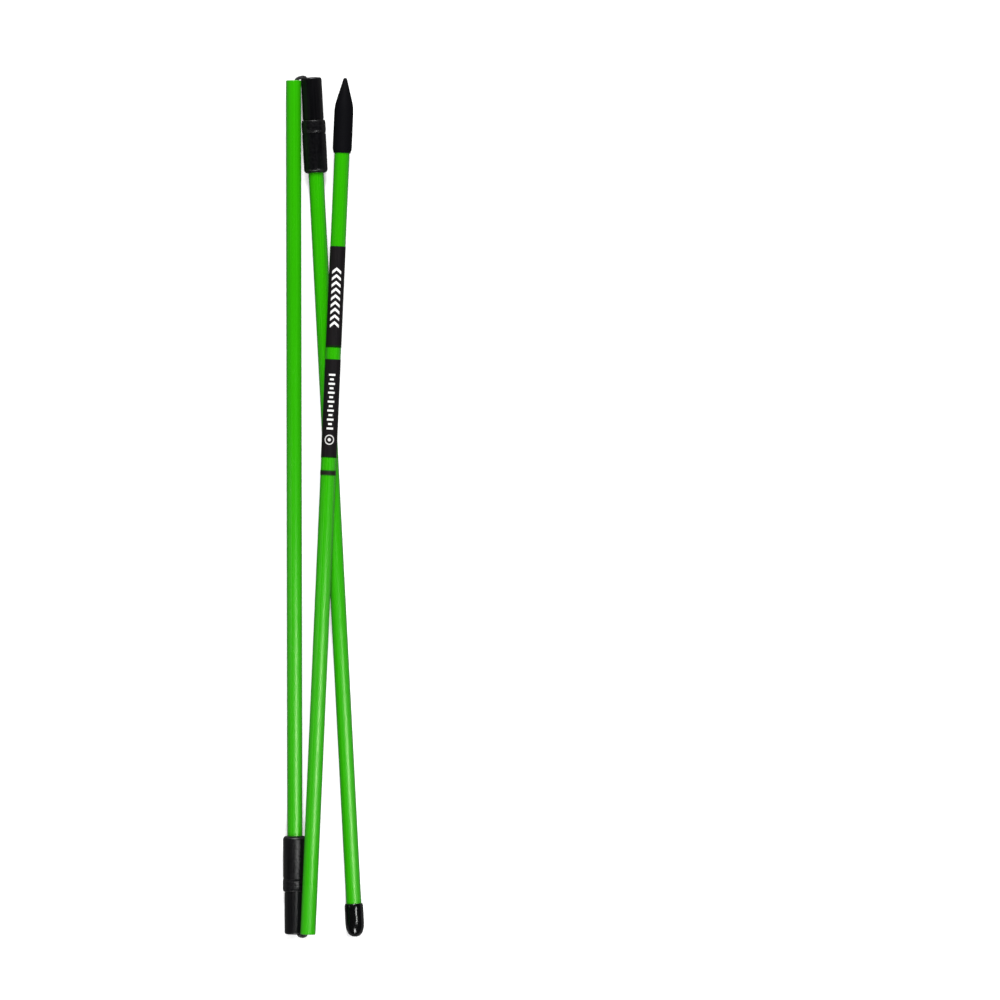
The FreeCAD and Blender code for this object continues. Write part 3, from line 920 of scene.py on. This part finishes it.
def pulled_rings(name, line, profile, corners):
    """A closed round shell, pulled along a section's line ring by ring to a pole at its end."""
    height, radius = profile[0]
    facing = line["along"].to_track_quat("Z", "Y").to_euler()
    at = line["start"] + line["along"] * height
    bpy.ops.object.select_all(action="DESELECT")
    bpy.ops.mesh.primitive_circle_add(vertices=corners, radius=radius, location=at, rotation=facing)
    shell = bpy.context.object
    shell.name = name
    shell.data.name = name
    bpy.ops.object.transform_apply(location=True, rotation=True, scale=True)
    bpy.ops.object.mode_set(mode="EDIT")
    bpy.ops.mesh.select_all(action="SELECT")
    for next_height, next_radius in profile[1:]:
        bpy.ops.mesh.extrude_region_move(
            TRANSFORM_OT_translate={"value": line["along"] * (next_height - height)}
        )
        centre = line["start"] + line["along"] * next_height
        bpy.ops.transform.resize(value=(next_radius / radius,) * 3, center_override=centre)
        height, radius = next_height, next_radius
    bpy.ops.mesh.merge(type="CENTER")
    bpy.ops.mesh.select_all(action="DESELECT")
    bpy.ops.mesh.select_non_manifold()
    bpy.ops.mesh.edge_face_add()
    bpy.ops.mesh.select_all(action="SELECT")
    bpy.ops.mesh.normals_make_consistent(inside=False)
    bpy.ops.object.mode_set(mode="OBJECT")
    return shell


# %% Rings of the cap, from the knot's room out over the lip and along to the closed end
CAP_LONG = 16.4
CAP_RADIUS = MOUNTS["end_cap_shank"]["dims"]["r_mm"]
CAP_DOME = 7.4
CAP_FULLNESS = 2.4
CAP_CORNERS = 72
SIDE_FROM, SIDE_STEP, SIDE_RINGS = 2.4, 0.41, 17
DOME_RINGS = 23
POLE_RADIUS = 0.05
profile = [
    (13.3, 2.9), (9.5, 2.9), (8.5, 2.95), (8.45, 3.70), (6.0, 3.76), (3.0, 3.76), (1.0, 3.76),
    (0.45, 3.77), (0.16, 3.84), (0.02, 3.98), (0.0, 4.12), (0.06, 4.26), (0.22, 4.36), (0.5, 4.44),
    (0.9, 4.52), (1.4, 4.59), (1.9, 4.63),
]
profile += [(SIDE_FROM + SIDE_STEP * k, CAP_RADIUS) for k in range(SIDE_RINGS)]
for k in range(1, DOME_RINGS + 1):
    angle = math.pi / 2 * k / (DOME_RINGS + 0.5)
    rise = math.sin(angle) ** (2 / CAP_FULLNESS)
    shrink = math.cos(angle) ** (2 / CAP_FULLNESS)
    profile.append((CAP_LONG - CAP_DOME * (1 - rise), CAP_RADIUS * shrink))
profile.append((CAP_LONG, POLE_RADIUS))
foot = END["length"] - CAP_LONG * MM
rings = [(foot + height * MM, radius * MM) for height, radius in profile]
cap = pulled_rings("dipped_cap", END, rings, CAP_CORNERS)

# %% Unevenness of the dipped skin, on the outside only
HOLLOW_RADIUS = 4.2
HOLLOW_TOP = CAP_LONG - CAP_DOME + 4.3
RIPPLE_WIDE = 3.2
RIPPLE_DEEP = 0.09

skin_group = cap.vertex_groups.new(name="outside")
for v in cap.data.vertices:
    away = v.co - END["start"]
    height = away.dot(END["along"])
    out = (away - END["along"] * height).length
    if out > HOLLOW_RADIUS * MM or height > foot + HOLLOW_TOP * MM:
        skin_group.add([v.index], 1.0, "REPLACE")
ripple = bpy.data.textures.new("vinyl_ripple", "CLOUDS")
ripple.noise_scale = RIPPLE_WIDE * MM
ripple.noise_depth = 1
push = cap.modifiers.new("vinyl_ripple", "DISPLACE")
push.texture = ripple
push.texture_coords = "LOCAL"
push.vertex_group = "outside"
push.strength = RIPPLE_DEEP * MM
push.mid_level = 0.5
only(cap)
bpy.ops.object.modifier_apply(modifier=push.name)
bpy.ops.object.shade_smooth()
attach(cap, "end_section")
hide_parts("end_cap")
print("cap:", len(cap.data.polygons), "faces")

# %% Glossy vinyl
VINYL_DARK = (0.0012, 0.0012, 0.0015, 1)
VINYL_LIGHT = (0.0024, 0.0024, 0.0028, 1)
VINYL_SCRATCHED = (0.03, 0.03, 0.03, 1)
VINYL_BUMP = 0.012

vinyl, tree, shader = begin("dipped_vinyl", Specular_IOR_Level=0.5)
place = section_place(tree, END)
grain = use(tree, fine_grain, Place=place, Grain=0.6, Detail=2.0)["Mask"]
specks = use(tree, fine_grain, Place=place, Grain=0.9, Detail=1.0)["Mask"]
dust = step(tree, specks, 0.93, 1.0)
marks = use(tree, hair_marks, Place=place, Length=2.0, Amount=0.6)["Mask"]
colour = mixed(tree, grain, VINYL_DARK, VINYL_LIGHT)
colour = tinted(tree, colour, marks, 0.2, VINYL_SCRATCHED)
roughness = more(tree, blended(tree, grain, 0.13, 0.19), marks, 0.2)
feed(tree, shader, colour, roughness, maths(tree, "ADD", grain, dust), VINYL_BUMP)
cap.data.materials.append(vinyl)

# %% [markdown]
# ## Mould lines and film laps
# Where the two halves of a mould meet, a moulded piece has a hair-thin raised line. Where a
# film meets itself round a tube, it laps over in a low step. Both follow the surface of their
# own solid. So each is cut from a copy of it: bisect leaves a narrow strip of the surface, what
# lies inside is deleted, and solidify gives the strip its height.

# %% A raised strip cut from a solid's own surface
SUNK = 1.5
SUNK_OFFSET = 0.33


def raised_strip(name, node, line, body, turn, width, height, inner, material):
    """A strip of a solid's outer surface, at a turn round its line, raised by a height."""
    bpy.ops.object.select_all(action="DESELECT")
    strip = bpy.data.objects.new(name, nodes[node].data.copy())
    strip.data.name = name
    bpy.context.scene.collection.objects.link(strip)
    only(strip)
    bpy.ops.object.mode_set(mode="EDIT")
    bpy.ops.mesh.select_all(action="SELECT")
    bpy.ops.mesh.remove_doubles(threshold=1e-6)
    outward = line["up"] * math.cos(turn) + line["side"] * math.sin(turn)
    beside = line["along"].cross(outward)
    for sign in (1, -1):
        bpy.ops.mesh.select_all(action="SELECT")
        at = line["start"] + beside * (sign * width / 2)
        bpy.ops.mesh.bisect(plane_co=at, plane_no=beside * sign, clear_outer=True)
    bpy.ops.mesh.select_all(action="SELECT")
    floor = line["start"] + outward * inner
    bpy.ops.mesh.bisect(plane_co=floor, plane_no=outward, clear_inner=True)
    bpy.ops.mesh.select_mode(type="FACE")
    bpy.ops.object.mode_set(mode="OBJECT")
    for face in strip.data.polygons:
        flat = abs(face.normal.dot(line["along"])) > 0.9
        face.select = flat or face.normal.dot(outward) < 0.05
    bpy.ops.object.mode_set(mode="EDIT")
    bpy.ops.mesh.delete(type="FACE")
    bpy.ops.mesh.select_mode(type="VERT")
    bpy.ops.object.mode_set(mode="OBJECT")
    wall = strip.modifiers.new("height", "SOLIDIFY")
    wall.thickness = height * SUNK
    wall.offset = SUNK_OFFSET
    bpy.ops.object.modifier_apply(modifier=wall.name)
    strip.data.materials.clear()
    strip.data.materials.append(material)
    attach(strip, body)
    print(f"{name}: {len(strip.data.polygons)} faces")
    return strip


# %% Mould lines of the couplers and the point
MOULD_TURN = -1.35
MOULD_WIDE = 0.16 * MM
MOULD_HIGH = 0.05 * MM
for name, node, line, body, inner, material in (
    ("lower_mould_line", "lower_coupler", MIDDLE, "middle_section", 4.6, nylon_lower),
    ("upper_mould_line", "upper_coupler", END, "end_section", 4.6, nylon_upper),
    ("point_mould_line", "pointed_tip", TIP, "tip_section", 0.5, rubber),
):
    for word, turn in (("left", MOULD_TURN), ("right", math.pi + MOULD_TURN)):
        made = raised_strip(
            f"{name}_{word}", node, line, body, turn, MOULD_WIDE, MOULD_HIGH, inner * MM, material
        )

# %% Laps of the two films, on the side turned down
LAP_TURN = 2.6
LAP_WIDE = 2.2 * MM
LAP_HIGH = 0.07 * MM
LAP_INNER = 2.0 * MM
for name, node, film_name in (
    ("top_film_lap", "top_wrap", "film_chevrons"),
    ("low_film_lap", "low_wrap", "film_ticks"),
):
    material = bpy.data.materials[film_name]
    made = raised_strip(
        name, node, TIP, "tip_section", LAP_TURN, LAP_WIDE, LAP_HIGH, LAP_INNER, material
    )
